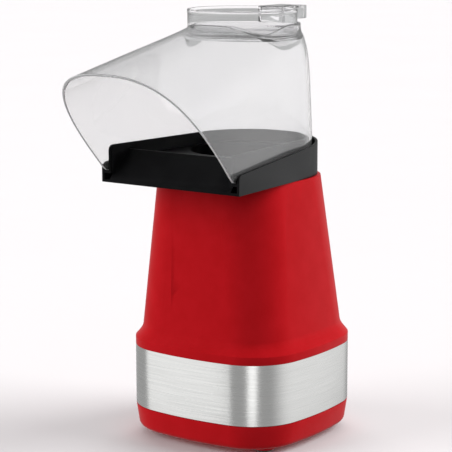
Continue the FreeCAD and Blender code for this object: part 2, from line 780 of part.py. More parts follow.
def motor():
    inner = "motor_radius - motor_sheet"
    can = turned("motor_can", [
        ("bush_radius + run_gap", "motor_top - motor_sheet"), (inner, "motor_top - motor_sheet"),
        (inner, "motor_bottom"), ("motor_radius", "motor_bottom"), ("motor_radius", "motor_top"),
        ("bush_radius + run_gap", "motor_top")])
    for i, side in enumerate(("", "-")):
        primitive("SubtractiveCylinder", "can_hole_%d" % i,
                  (side + "motor_screw_place", "0", "motor_top - 2 * motor_sheet"), owner=can,
                  Radius="small_screw_radius + run_gap", Height="4 * motor_sheet")
    keep("motor_can", can)
    cap_bottom = "motor_bottom - end_cap_height"
    hub_bottom = cap_bottom + " - end_hub_height"
    keep("motor_end_cap", turned("motor_end_cap", [
        ("bush_radius + run_gap", hub_bottom), ("bush_radius + 2", hub_bottom),
        ("bush_radius + 2", cap_bottom), ("motor_radius", cap_bottom), ("motor_radius", "motor_bottom"),
        (inner + " - run_gap", "motor_bottom"), (inner + " - run_gap", "motor_bottom + 1.5"),
        (inner + " - 2", "motor_bottom + 1.5"), (inner + " - 2", "motor_bottom"),
        ("bush_radius + run_gap", "motor_bottom")]))
    bore = "shaft_radius + run_gap"
    keep("lower_bush", ring("lower_bush", bore, "bush_radius", hub_bottom, hub_bottom + " + bush_length"))
    keep("upper_bush", ring("upper_bush", bore, "bush_radius",
                            "motor_top + bracket_sheet - bush_length", "motor_top + bracket_sheet"))
    magnet_ring = ring("magnet_ring", "magnet_inner", inner + " - run_gap", "rotor_bottom", "rotor_top")
    gap = primitive("Box", "magnet_gap", ("-rotor_radius / 2", "-motor_radius", "motor_bottom"),
                    Length="rotor_radius", Width="2 * motor_radius", Height="motor_top - motor_bottom")
    keep("motor_magnets", cut("magnet_pair", magnet_ring, [gap]))
    rotor = ring("motor_rotor", "shaft_radius", "rotor_radius", "rotor_bottom + 1", "rotor_top - 1")
    slot = primitive("SubtractiveBox", "winding_slot", ("rotor_radius - 6", "-1.2", "rotor_bottom"), owner=rotor,
                     Length="8", Width="2.4", Height="rotor_top - rotor_bottom")
    polar(rotor, slot, "winding_slots", "5")
    keep("motor_rotor", rotor)
    keep("commutator", ring("commutator", "shaft_radius", "commutator_radius",
                            "commutator_bottom", "commutator_top"))
    keep("motor_shaft", turned("motor_shaft", [
        ("0", "shaft_bottom"), ("shaft_radius", "shaft_bottom"), ("shaft_radius", "shaft_top"),
        ("0", "shaft_top")]))


motor()


def fan():
    plate_bottom = "fan_top - fan_plate"
    body = turned("fan_impeller", [
        ("shaft_radius", "fan_bottom"), ("fan_hub", "fan_bottom"), ("fan_hub", plate_bottom),
        ("fan_radius", plate_bottom), ("fan_radius", "fan_top"), ("shaft_radius", "fan_top")])
    blade = primitive("AdditiveBox", "blade", ("fan_hub - 1.5", "-blade_sheet / 2", "fan_bottom"), owner=body,
                      Length="fan_radius - fan_hub + 1", Width="blade_sheet", Height="fan_top - fan_bottom - fan_plate / 2")
    polar(body, blade, "blades", "blade_count")
    keep("fan_impeller", body)
    keep("fan_collar", ring("fan_collar", "shaft_radius", "collar_radius", "fan_top",
                            "fan_top + collar_height"))


fan()


# ---------------------------------------------------------------- electrics
def electrics():
    keep("rectifier_board", primitive("Box", "board", Length="board_width", Width="board_depth",
         Height="board_sheet"), ("-board_width / 2", "-board_y - board_depth / 2", "board_height"))
    board_top = "board_height + board_sheet"
    keep("diodes", group("diode_row", [
        primitive("Cylinder", "diode_%d" % i,
                  ("-standoff_x", "-board_y + diode_pitch * (%d - 1.5)" % i, board_top + " + diode_radius"),
                  Y, 90, Radius="diode_radius", Height="diode_length") for i in range(4)]))
    keep("capacitor", primitive("Cylinder", "capacitor_can", Radius="capacitor_radius",
         Height="capacitor_height"), ("standoff_x / 2", "-board_y", board_top))
    keep("terminal_block", primitive("Box", "block", Length="terminal_width", Width="terminal_depth",
         Height="terminal_height"),
         ("-terminal_width / 2", "terminal_y - terminal_depth / 2", "base_underside + base_floor"))


electrics()


def switch():
    """Rocker switch in the back of the band; the rocker turns on two short pins."""
    pocket_width = "rocker_width + 2 * slide_gap"
    pocket_tall = "switch_tall - 1.6"
    face = "base_half_depth + run_gap"
    flange = primitive("Box", "switch_flange_block",
                       ("-switch_width / 2 - switch_border", face, "switch_z - switch_tall / 2 - switch_border"),
                       Length="switch_width + 2 * switch_border", Width="switch_flange",
                       Height="switch_tall + 2 * switch_border")
    case = primitive("Box", "switch_case", ("-switch_width / 2", face + " - switch_deep", "switch_z - switch_tall / 2"),
                     Length="switch_width", Width="switch_deep + switch_flange / 2", Height="switch_tall")
    well_y = face + " + switch_flange - rocker_front - rocker_back - 1"
    well = primitive("Box", "switch_well", ("-(%s) / 2" % pocket_width, well_y, "switch_z - (%s) / 2" % pocket_tall),
                     Length=pocket_width, Width="rocker_front + rocker_back + 4", Height=pocket_tall)
    pin_half = "switch_width / 2 - 0.6"
    pin_bore = primitive("Cylinder", "switch_pin_bore", ("-(%s)" % pin_half, face + " - rocker_inset", "switch_z"),
                         Y, 90, Radius="rocker_pin + run_gap", Height="2 * (%s)" % pin_half)
    tabs = [primitive("Box", "switch_tab_%d" % i, ("-0.4", face + " - switch_deep - 5",
                      "switch_z + %d - 2.4" % rise), Length="0.8", Width="6", Height="4.8")
            for i, rise in enumerate((-5, 5))]
    keep("switch_body", cut("switch_shell", fuse("switch_block", [flange, case] + tabs), [well, pin_bore]))
    rocker = new_body("switch_rocker")
    side = new_sketch(rocker, "rocker_side", "YZ_Plane", "-rocker_width / 2")
    half = "rocker_tall / 2"
    polygon(side, [("-rocker_back", "-rocker_tall * 0.35"), ("-rocker_back", "rocker_tall * 0.35"),
                   ("-rocker_back + 2", half), ("rocker_front", half),
                   ("rocker_front - rocker_dish", "0"), ("rocker_front", "-(%s)" % half),
                   ("-rocker_back + 2", "-(%s)" % half)])
    pad(rocker, "rocker_block", side, "rocker_width")
    primitive("AdditiveCylinder", "rocker_pins", ("-(%s) + run_gap" % pin_half, "0", "0"), Y, 90, owner=rocker,
              Radius="rocker_pin", Height="2 * (%s) - 2 * run_gap" % pin_half)
    keep("switch_rocker", rocker, ("0", face + " - rocker_inset", "switch_z"), X, -size("rocker_tilt"))


switch()


def cord_gland():
    """A flanged bush through the cord boss; its axis runs out along +Y."""
    body = turned("cord_gland", [
        ("gland_bore", "-gland_length + gland_flange_height"),
        ("gland_neck", "-gland_length + gland_flange_height"), ("gland_neck", "0"), ("gland_flange", "0"),
        ("gland_flange", "gland_flange_height * 0.6"), ("gland_flange - 1", "gland_flange_height"),
        ("gland_bore", "gland_flange_height")])
    keep("cord_gland", body, ("gland_x", "base_half_depth - gland_boss_proud", "gland_z"), X, -90)


cord_gland()


def lead(route):
    """One insulated lead: straight runs joined by tangent arcs, swept by a round section."""
    points = [FreeCAD.Vector(*(size(text) for text in spot)) for spot in route]
    edges, start = [], points[0]
    for before, corner, after in zip(points, points[1:], points[2:]):
        back, on = (before - corner).normalize(), (after - corner).normalize()
        turn = math.pi - back.getAngle(on)
        shorter = min((before - corner).Length, (after - corner).Length)
        setback = 0.45 * shorter
        arc_radius = setback / math.tan(turn / 2)
        enter, leave = corner + back * setback, corner + on * setback
        centre = corner + (back + on).normalize() * math.hypot(arc_radius, setback)
        middle = centre + (corner - centre).normalize() * arc_radius
        edges += [Part.makeLine(start, enter), Part.Arc(enter, middle, leave).toShape()]
        start = leave
    edges.append(Part.makeLine(start, points[-1]))
    wire = Part.Wire(edges)
    section = Part.Wire([Part.makeCircle(size("lead_radius"), points[0], points[1] - points[0])])
    return wire.makePipeShell([section], True, False)


def internal_leads():
    block_top = "base_underside + base_floor + terminal_height"
    board_top = "board_height + board_sheet"
    tab_y = "base_half_depth - switch_deep - 4 - lead_radius"
    over = block_top + " + 10"
    leads = [lead([(x, "terminal_y", block_top), (x, "terminal_y", over), (x, tab_y + " - 3", over + " + 6"),
                   (x, tab_y + " - 1", z + " - 7"), ("-0.4 - lead_radius", tab_y, z + " - 2"),
                   ("-0.4 - lead_radius", tab_y, z + " + 2")])
             for x, z in (("0", "switch_z - 5"),)]
    leads += [lead([(side + "terminal_width / 3", "terminal_y", block_top),
                    (side + "terminal_width / 3", "terminal_y", over),
                    (side + "(motor_radius + 12)", "bracket_window_circle", over + " + 3"),
                    (side + "(motor_radius + 13)", "0", over + " + 1"),
                    (side + "(motor_radius + 11)", "-bracket_window_circle", over + " + 2"),
                    (side + "(board_width / 2 - 2)", "-board_y + 4", over),
                    (side + "(board_width / 2 - 2)", "-board_y + 4", board_top)])
              for side in ("", "-")]
    item = doc.addObject("Part::Feature", "leads")
    item.Shape = Part.makeCompound(leads)
    keep("internal_leads", item)


internal_leads()


# ---------------------------------------------------------------- chute tray
def tray_outline(name, height, half_front, back_radius):
    """Straight front, spreading sides and a round back, all tangent but for the front corners."""
    sketch = new_sketch(None, name, "XY_Plane", height)
    front, centre, reach = size("tray_front"), size("tray_back_centre"), size(back_radius)
    corner = FreeCAD.Vector(size(half_front), -front, 0)
    middle = FreeCAD.Vector(0, centre, 0)
    out = corner - middle
    angle = math.atan2(out.y, out.x) + math.acos(reach / out.Length)
    touch = middle + FreeCAD.Vector(math.cos(angle), math.sin(angle), 0) * reach
    mirror = FreeCAD.Vector(-1, 1, 1)
    flip = [FreeCAD.Vector(v.x * mirror.x, v.y, 0) for v in (touch, corner)]
    sketch.addGeometry(Part.LineSegment(flip[1], corner))
    sketch.addGeometry(Part.LineSegment(corner, touch))
    sketch.addGeometry(Part.ArcOfCircle(Part.Circle(middle, Z, reach), angle, math.pi - angle))
    sketch.addGeometry(Part.LineSegment(flip[0], flip[1]))
    for first, second in ((0, 1), (3, 0)):
        sketch.addConstraint(Sketcher.Constraint("Coincident", first, 2, second, 1))
    for first, second in ((1, 2), (2, 3)):
        sketch.addConstraint(Sketcher.Constraint("Tangent", first, 2, second, 1))
    dimension(sketch, "DistanceX", 0, 2, half_front)
    dimension(sketch, "DistanceX", 0, 1, "-(%s)" % half_front)
    for point in (1, 2):
        dimension(sketch, "DistanceY", 0, point, "-tray_front")
    dimension(sketch, "DistanceY", 2, 3, "tray_back_centre")
    sketch.addConstraint(Sketcher.Constraint("PointOnObject", 2, 3, -2))
    radius(sketch, 2, back_radius)
    return sketch


def extruded(name, sketch, length, direction=Z):
    item = doc.addObject("Part::Extrusion", name)
    item.Base = sketch
    item.DirMode = "Custom"
    item.Dir = direction
    item.Solid = True
    bind(item, LengthFwd=length)
    return item


def side_profile(name, corners):
    """A solid whose YZ outline is the given corners, wide enough to cross the whole tray."""
    body = new_body(name)
    sketch = polygon(new_sketch(body, name + "_sketch", "YZ_Plane"), corners)
    item = pad(body, name + "_pad", sketch, "3 * tray_half_front")
    item.Midplane = True
    return body


def chute_tray():
    bottom = "column_top + slide_gap"
    top = bottom + " + tray_height"
    reach = "tray_back_centre + tray_back_radius"

    def prism(name, low, high, half, back):
        return extruded(name, tray_outline(name + "_outline", low, half, back), "(%s) - (%s)" % (high, low))

    outer = ("tray_half_front", "tray_back_radius")
    outer_inside = ("tray_half_front - tray_wall", "tray_back_radius - tray_wall")
    inner = ("inner_half_front", "inner_back_radius")
    inner_inside = ("inner_half_front - inner_wall", "inner_back_radius - inner_wall")
    groove = bottom + " + groove_floor"

    rim_profile = side_profile("tray_rim_profile", [
        ("-tray_front", bottom), (reach, bottom), (reach, bottom + " + tray_rim_back"),
        ("-tray_front + tray_rim_round", bottom + " + tray_rim_front + tray_rim_round * 0.1"),
        ("-tray_front + tray_rim_round * 0.3", bottom + " + tray_rim_front - tray_rim_round * 0.3"),
        ("-tray_front", bottom + " + tray_rim_front - tray_rim_round")])
    outer_wall = cut("tray_outer_wall", prism("tray_outer", bottom, top, *outer),
                     [prism("tray_outer_core", bottom + " + tray_plate", top + " + 1", *outer_inside)])
    outer_wall = common("tray_outer_rim", outer_wall, rim_profile)
    front_cut = primitive("Box", "tray_front_cut", ("-tray_half_front + tray_wall", "-tray_front - 1", groove),
                          Length="2 * (tray_half_front - tray_wall)", Width="tray_wall + 2", Height="tray_height")
    ramp_cut = primitive("Box", "tray_ramp_cut",
                         ("-inner_half_front + inner_wall", "-tray_front - 1", bottom + " + ramp_foot"),
                         Length="2 * (inner_half_front - inner_wall)", Width="inner_wall + 2",
                         Height="tray_height")
    flange_hole = primitive("Cylinder", "tray_flange_hole", ("0", "0", bottom + " - 1"),
                            Radius="chamber_flange + tray_hole_gap", Height="tray_plate + 2")
    outer_wall = cut("tray_outer_shell", outer_wall, [front_cut, ramp_cut, flange_hole])

    round_profile = side_profile("inner_wall_profile", [
        ("-tray_front", bottom), (reach, bottom), (reach, top),
        ("-tray_front + inner_wall_round", top),
        ("-tray_front + inner_wall_round * 0.5", top + " - inner_wall_round * 0.134"),
        ("-tray_front + inner_wall_round * 0.134", top + " - inner_wall_round * 0.5"),
        ("-tray_front", top + " - inner_wall_round")])
    inner_wall = cut("tray_inner_wall", prism("tray_inner", groove + " - tray_plate", top, *inner),
                     [prism("tray_inner_core", bottom, top + " + 1", *inner_inside), ramp_cut])
    inner_wall = common("tray_inner_shell", inner_wall, round_profile)
    groove_floor = cut("tray_groove", prism("tray_groove_plate", groove + " - tray_plate", groove, *outer),
                       [prism("tray_groove_core", bottom, top, *inner_inside)])

    dam_y = "-tray_front + dam_setback"
    deck = bottom + " + deck_height"
    ramp_plate = side_profile("ramp_profile", [
        ("-tray_front", bottom), ("-tray_front", bottom + " + ramp_foot"), (dam_y, bottom + " + dam_height"),
        (dam_y + " + dam_top", bottom + " + dam_height"),
        (dam_y + " + dam_top + 0.7 * (dam_height - deck_height)", deck), (reach, deck),
        (reach, deck + " - tray_plate"), (dam_y + " + tray_plate", deck + " - tray_plate"),
        ("-tray_front + 1.4 * tray_plate", bottom + " + ramp_foot - 0.2 * tray_plate"),
        ("-tray_front + 1.4 * tray_plate", bottom)])
    floor_plate = common("tray_ramp", prism("tray_ramp_prism", bottom, top,
                         "inner_half_front - inner_wall / 2", "inner_back_radius - inner_wall / 2"), ramp_plate)
    throat_bottom = FLANGE_BOTTOM + " + chamber_sheet + throat_gap"
    throat = primitive("Cylinder", "throat_tube", ("0", "0", throat_bottom),
                       Radius="throat_radius + throat_wall", Height="%s - (%s)" % (deck, throat_bottom))
    bore = primitive("Cylinder", "throat_bore", ("0", "0", bottom), Radius="throat_radius",
                     Height="tray_height")
    keep("chute_tray", cut("tray_bored", fuse("tray_walls", [
        outer_wall, inner_wall, groove_floor, floor_plate, throat]), [bore]))


chute_tray()


# ---------------------------------------------------------------- hood
ARCH_POINTS = 25
VAULT_STEPS = 14


def hood_half(y):
    """Half width of the hood's foot: it starts to spread in front of the dome, and eases off forward."""
    onset, taper = size("hood_onset"), size("hood_taper")
    start, length = size("hood_bend_start"), size("hood_bend_length")
    forward = size("tray_back_centre") - y
    early = min(forward, onset)
    past = min(max(-y - start, 0), length)
    beyond = max(-y - start - length, 0)
    spread = early**2 / (2 * onset) + (forward - early) - past**2 / (2 * length) - beyond
    return size("hood_half_back") + taper * spread


def hood_ridge(y):
    """Height of the hood's ridge: level over the chamber, then a bend, then a straight fall."""
    crown, slope = size("hood_crown"), size("hood_ridge_slope")
    bend = 2 * (crown - size("hood_ridge_z")) / slope
    past = min(max(-y - size("hood_ridge_y") + bend, 0), bend)
    beyond = max(-y - size("hood_ridge_y"), 0)
    return crown - slope * (past**2 / (2 * bend) + beyond)


def hood_arch(y, inset):
    """Half of the hood's cross-section at one y, as (x, z) from the foot to the ridge."""
    spring = size("hood_spring")
    foot = size("column_top + slide_gap + groove_floor + slide_gap") - inset
    forward = size("tray_back_centre") - y
    squareness = size("hood_round") + (size("hood_boxy") - size("hood_round")) * math.exp(
        -((forward / size("hood_round_length")) ** 1.5))
    half, rise = hood_half(y) - inset, hood_ridge(y) - inset - spring
    spots = [(half, foot), (half, (foot + spring) / 2)]
    steps = ARCH_POINTS // 2
    for i in range(steps + 1):
        share = i / steps
        turn = math.pi / 2 * share
        across = math.cos(turn) ** (2 / squareness) if i < steps else 0
        up = math.sin(turn) ** (2 / squareness)
        spots.append(((half - size("hood_lean") * rise * up) * across, spring + rise * up))
    return spots


def arch_curve(y, inset, whole):
    spots = hood_arch(y, inset)
    if whole:
        spots = spots + [(-x, z) for x, z in reversed(spots[:-1])]
    points = [FreeCAD.Vector(x, y, z) for x, z in spots]
    steps = [math.dist(a, b) for a, b in zip(spots, spots[1:])]
    curve = Part.BSplineCurve()
    curve.interpolate(Points=points, Parameters=[sum(steps[:i]) / sum(steps) for i in range(len(points))])
    return curve.toShape(), points


def hood_solid(inset):
    """The hood's outer body, or its hollow: a lofted vault in front and half a turned dome behind."""
    centre, reach = size("tray_back_centre"), size("hood_reach") + 12
    stations = [centre - (reach + centre) * i / VAULT_STEPS for i in range(VAULT_STEPS + 1)]
    sections = []
    for y in stations:
        curve, points = arch_curve(y, inset, True)
        sections.append(Part.Wire([curve, Part.makeLine(points[-1], points[0])]))
    vault = Part.makeLoft(sections, True, False)
    half, points = arch_curve(centre, inset, False)
    top = FreeCAD.Vector(0, centre, points[-1].z)
    low = FreeCAD.Vector(0, centre, points[0].z)
    face = Part.Face(Part.Wire([half, Part.makeLine(top, low), Part.makeLine(low, points[0])]))
    dome = face.revolve(FreeCAD.Vector(0, centre, 0), Z, 180)
    if dome.Volume < 0:
        dome.reverse()
    return vault.fuse(dome)


def hood():
    shell = doc.addObject("Part::Feature", "hood_shell")
    shell.Shape = hood_solid(0).cut(hood_solid(size("hood_wall")))
    # the mouth: everything in front of a plane that leans forward from the tray's front edge
    mouth_z = size("column_top + slide_gap + groove_floor - mouth_drop")
    mouth = primitive("Box", "mouth_cut", Length="4 * tray_half_front", Width="hood_reach", Height="2 * hood_reach")
    stand_off(mouth, (-size("2 * tray_half_front"), -size("tray_front"), mouth_z), X, size("mouth_lean"),
              (0, -size("hood_reach"), -size("hood_reach")))
    inner = "recess_radius - recess_wall"
    recess_core = primitive("Cylinder", "recess_core", ("0", "0", "recess_bottom + recess_floor"),
                            Radius=inner, Height="hood_crown - recess_bottom")
    collar = primitive("Cylinder", "collar", ("0", "0", "recess_bottom"), Radius="recess_radius",
                       Height="collar_top - recess_bottom")
    scoops = []
    for i, side in enumerate((1, -1)):
        turn = side * size("collar_dip_angle")
        scoop = primitive("Cylinder", "collar_scoop_%d" % i, Radius="collar_dip_radius",
                          Height="recess_radius + 4")
        stand_off(scoop, (0, 0, size("collar_top - collar_dip + collar_dip_radius")), Z, turn - 90)
        scoop.Placement = scoop.Placement.multiply(FreeCAD.Placement(FreeCAD.Vector(), FreeCAD.Rotation(Y, 90)))
        scoops.append(scoop)
    keep("hood", cut("hood_open", fuse("hood_and_collar", [shell, cut("collar_wavy", collar, scoops)]),
                     [recess_core, mouth]))


hood()


# ---------------------------------------------------------------- measuring cup
def measuring_cup():
    floor = "recess_bottom + recess_floor + slide_gap"
    skirt = "cup_top - rim_height"
    bowl = turned("cup_bowl", [
        ("0", floor), ("cup_radius - 2", floor), ("cup_radius", floor + " + 2"), ("cup_radius", skirt),
        ("rim_radius", skirt), ("rim_radius", "cup_top"), ("rim_radius - rim_wall", "cup_top"),
        ("cup_radius - cup_wall", skirt + " + 1"), ("cup_radius - cup_wall", floor + " + cup_floor + 1"),
        ("cup_radius - cup_wall - 1", floor + " + cup_floor"), ("0", floor + " + cup_floor")])
    tab = primitive("Box", "tab_block", ("-tab_width / 2", "rim_radius - rim_wall", "cup_top - tab_height"),
                    Length="tab_width", Width="tab_reach + rim_wall", Height="tab_height")
    under = primitive("Box", "tab_hollow", ("-tab_width / 2 + tab_wall", "0", "cup_top - tab_height - 1"),
                      Length="tab_width - 2 * tab_wall", Width="rim_radius + tab_reach - tab_wall",
                      Height="tab_height - tab_top + 1")
    core = primitive("Cylinder", "cup_core", ("0", "0", floor), Radius="cup_radius - cup_wall / 2",
                     Height="cup_top")
    keep("measuring_cup", fuse("cup_with_tab", [bowl, cut("cup_tab", tab, [under, core])]))


measuring_cup()


doc.recompute()
failed = [item.Name for item in doc.Objects if "Invalid" in item.State or "Error" in item.State]
failed += [name for name, item in parts.items() if item.Shape.isNull() or not item.Shape.isValid()]
if failed:
    raise SystemExit("not built: " + ", ".join(failed))
os.makedirs("parts", exist_ok=True)
for name, item in parts.items():
    item.Shape.exportStep("parts/%s.step" % name)
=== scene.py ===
"""Looks of a hot-air popcorn maker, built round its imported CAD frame.

Everything is in metres in the frame's own axes: +Z up, -Y towards the hood's mouth, +X to the
machine's right. The hood and the cup are worked out about the popping chamber's axis, in
millimetres, and then set at that axis's place in the frame. Angles are in degrees where they are
constants, and in radians inside functions.
"""

import json
import math

import bmesh
import bpy
import numpy as np
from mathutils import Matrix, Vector

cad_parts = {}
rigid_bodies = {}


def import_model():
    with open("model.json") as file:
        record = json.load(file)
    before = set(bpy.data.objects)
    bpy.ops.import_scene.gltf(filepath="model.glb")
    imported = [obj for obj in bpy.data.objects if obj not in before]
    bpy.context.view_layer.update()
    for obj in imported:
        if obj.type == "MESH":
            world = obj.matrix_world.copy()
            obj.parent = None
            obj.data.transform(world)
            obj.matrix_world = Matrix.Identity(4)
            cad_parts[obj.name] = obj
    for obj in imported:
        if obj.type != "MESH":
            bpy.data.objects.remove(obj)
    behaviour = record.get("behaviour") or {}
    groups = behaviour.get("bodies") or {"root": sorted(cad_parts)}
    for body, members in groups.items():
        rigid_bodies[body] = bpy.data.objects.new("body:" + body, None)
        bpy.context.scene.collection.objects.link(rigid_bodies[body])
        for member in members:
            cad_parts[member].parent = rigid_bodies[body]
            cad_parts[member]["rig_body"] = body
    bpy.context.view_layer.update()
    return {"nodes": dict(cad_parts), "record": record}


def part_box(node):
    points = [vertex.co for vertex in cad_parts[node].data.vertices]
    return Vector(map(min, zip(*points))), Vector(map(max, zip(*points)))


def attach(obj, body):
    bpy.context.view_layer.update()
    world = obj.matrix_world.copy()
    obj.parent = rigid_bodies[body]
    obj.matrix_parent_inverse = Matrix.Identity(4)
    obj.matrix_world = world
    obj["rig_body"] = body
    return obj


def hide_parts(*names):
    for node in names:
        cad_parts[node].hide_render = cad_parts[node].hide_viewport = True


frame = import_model()

MM = 0.001
AXIS_Y = (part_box("popping_chamber")[0].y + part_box("popping_chamber")[1].y) / 2
TRAY_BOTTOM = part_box("chute_tray")[0].z / MM


# ---------------------------------------------------------------- camera, floor and light
CAMERA_PLACE = (0.850, -1.1667, 0.4429)
CAMERA_TILT, CAMERA_TURN = 79.83, 34.88
CAMERA_LENS, CAMERA_SHIFT, CAMERA_REACH = 141.6, -0.0363, 100

PAPER = (0.98, 0.955, 0.965)         # seen through the clear pieces, where nothing stands behind them
ROOM_FILL = (0.42, 0.42, 0.425)      # light from all round on matt surfaces
ROOM_DIM, ROOM_BRIGHT = 0.44, 1.08   # the room in reflections: most of it, and its bright side
BRIGHT_SIDE = (0.766, 0.643, 0)
BRIGHT_EDGE = 0.45                   # cosine of the angle from the bright side's middle to its edge
OVERHEAD = (0.15, 0.6)               # steepness over which the bright side fades upwards

FLOOR_REACH = 40
FLOOR_PAPER = dict(colour=(0.635, 0.616, 0.622), other=(0.63, 0.611, 0.617), rough=(0.85, 0.95),
                   grain=(600, 0.002), blotch=3, fixed={"Specular IOR Level": 0.05})

SUNS = (                             # name, azimuth, height, spread, strength
    ("left_panel", -136, 18, 50, 2.7),
    ("right_panel", 38, 34, 50, 3.4),
    ("back_panel", 126, 38, 60, 1.6))
CARDS = (                            # name, azimuth, distance, width, height, brightness, the piece it is for
    ("left_box", -130, 1.6, 1.6, 2.8, 0.76, "trim_band"),
    ("camera_strip", -57, 1.7, 0.56, 2.8, 1.15, "trim_band"),
    ("tray_box", 54, 1.7, 1.2, 2.4, 1.4, "chute_tray"))
CARD_MIDDLE = 0.15                   # height of the cards' middles


def camera():
    data = bpy.data.cameras.new("camera")
    data.lens = CAMERA_LENS
    data.shift_x = CAMERA_SHIFT
    data.clip_end = CAMERA_REACH
    eye = bpy.data.objects.new("camera", data)
    eye.location = CAMERA_PLACE
    eye.rotation_euler = (math.radians(CAMERA_TILT), 0, math.radians(CAMERA_TURN))
    bpy.context.scene.collection.objects.link(eye)
    bpy.context.scene.camera = eye


def heading(azimuth, height):
    """The direction at an azimuth anticlockwise from +X and a height above level."""
    turn, tilt = math.radians(azimuth), math.radians(height)
    return Vector((math.cos(turn) * math.cos(tilt), math.sin(turn) * math.cos(tilt), math.sin(tilt)))


def world():
    """A pale room; in reflections it is bright to one side behind, and dim elsewhere and overhead."""
    made = bpy.data.worlds.new("studio")
    made.use_nodes = True
    tree = made.node_tree
    way = new_node(tree, "ShaderNodeTexCoord").outputs["Generated"]
    aim = new_node(tree, "ShaderNodeVectorMath", {0: way, 1: BRIGHT_SIDE}, operation="DOT_PRODUCT")
    glow = new_node(tree, "ShaderNodeMapRange", {"Value": aim.outputs["Value"], "From Min": BRIGHT_EDGE},
                    interpolation_type="SMOOTHSTEP").outputs[0]
    path = new_node(tree, "ShaderNodeLightPath").outputs
    height = new_node(tree, "ShaderNodeSeparateXYZ", {0: way}).outputs["Z"]
    overhead = new_node(tree, "ShaderNodeMapRange",
                        {"Value": height, "From Min": OVERHEAD[0], "From Max": OVERHEAD[1]},
                        interpolation_type="SMOOTHSTEP").outputs[0]
    room = mixed(tree, glow, (*[ROOM_DIM] * 3, 1), (*[ROOM_BRIGHT] * 3, 1))
    room = mixed(tree, overhead, room, (*[ROOM_DIM] * 3, 1))
    seen = mixed(tree, path["Is Glossy Ray"], (*PAPER, 1), room)
    seen = mixed(tree, path["Is Diffuse Ray"], seen, (*ROOM_FILL, 1))
    tree.links.new(seen, tree.nodes["Background"].inputs["Color"])
    # only a ray that leaves the scene knows which kind it is, so the world isn't sampled as a light
    made.cycles.sampling_method = "NONE"
    bpy.context.scene.world = made


def sun(name, azimuth, height, spread, strength):
    """A broad soft light for the floor and the body's own colour, left out of reflections."""
    data = bpy.data.lights.new(name, "SUN")
    data.energy = strength
    data.angle = math.radians(spread)
    lamp = bpy.data.objects.new(name, data)
    lamp.rotation_euler = heading(azimuth, height).to_track_quat("Z", "Y").to_euler()
    lamp.visible_glossy = False
    lamp.visible_transmission = False
    bpy.context.scene.collection.objects.link(lamp)


def card(name, azimuth, distance, width, height, brightness, piece):
    """A soft box that faces the machine and only shows in one piece's reflections."""
    data = bpy.data.lights.new(name, "AREA")
    data.shape = "RECTANGLE"
    data.size = width
    data.size_y = height
    data.energy = brightness * width * height * math.pi
    away = heading(azimuth, 0)
    lamp = bpy.data.objects.new(name, data)
    lamp.location = Vector((0, AXIS_Y, CARD_MIDDLE)) + distance * away
    lamp.rotation_euler = (-away).to_track_quat("-Z", "Y").to_euler()
    lamp.visible_camera = False
    lamp.visible_diffuse = False
    lamp.visible_transmission = False
    bpy.context.scene.collection.objects.link(lamp)
    lit = bpy.data.collections.new(name + "_only")
    lit.objects.link(piece)
    lamp.light_linking.receiver_collection = lit


# ---------------------------------------------------------------- shader helpers
NOISE_LOW, NOISE_HIGH = 0.35, 0.65   # noise lies mostly between these
EDGE_WIDTH, EDGE_SAMPLES = 0.0006, 4
EDGE_NONE, EDGE_FULL = 0.99, 0.85    # how far the rounded and flat normals agree, off and on an edge
BUMP_HEIGHT = 0.0002


def new_node(tree, kind, sockets=None, **settings):
    made = tree.nodes.new(kind)
    for key, value in settings.items():
        setattr(made, key, value)
    for key, value in (sockets or {}).items():
        if isinstance(value, bpy.types.NodeSocket):
            tree.links.new(value, made.inputs[key])
        else:
            made.inputs[key].default_value = value
    return made


def noise(tree, place, scale, detail=3, roughness=0.5, stretch=None):
    if stretch:
        place = new_node(tree, "ShaderNodeMapping", {"Vector": place, "Scale": stretch}).outputs[0]
    sockets = {"Vector": place, "Scale": scale, "Detail": detail, "Roughness": roughness}
    return new_node(tree, "ShaderNodeTexNoise", sockets).outputs["Fac"]


def between(tree, fac, low, high):
    """Maps noise to low..high."""
    sockets = {"Value": fac, "From Min": NOISE_LOW, "From Max": NOISE_HIGH, "To Min": low, "To Max": high}
    return new_node(tree, "ShaderNodeMapRange", sockets).outputs[0]


def mixed(tree, fac, first, second):
    made = new_node(tree, "ShaderNodeMix", data_type="RGBA")
    for socket, value in ((made.inputs[0], fac), (made.inputs[6], first), (made.inputs[7], second)):
        if isinstance(value, bpy.types.NodeSocket):
            tree.links.new(value, socket)
        else:
            socket.default_value = value
    return made.outputs[2]


def worn_edges(tree, wear):
    """A mask that rises to wear along sharp edges."""
    rounded = new_node(tree, "ShaderNodeBevel", {"Radius": EDGE_WIDTH}, samples=EDGE_SAMPLES).outputs[0]
    flat = new_node(tree, "ShaderNodeNewGeometry").outputs["Normal"]
    match = new_node(tree, "ShaderNodeVectorMath", {0: rounded, 1: flat}, operation="DOT_PRODUCT")
    sockets = {"Value": match.outputs["Value"], "From Min": EDGE_NONE, "From Max": EDGE_FULL,
               "To Min": 0, "To Max": wear}
    return new_node(tree, "ShaderNodeMapRange", sockets).outputs[0]


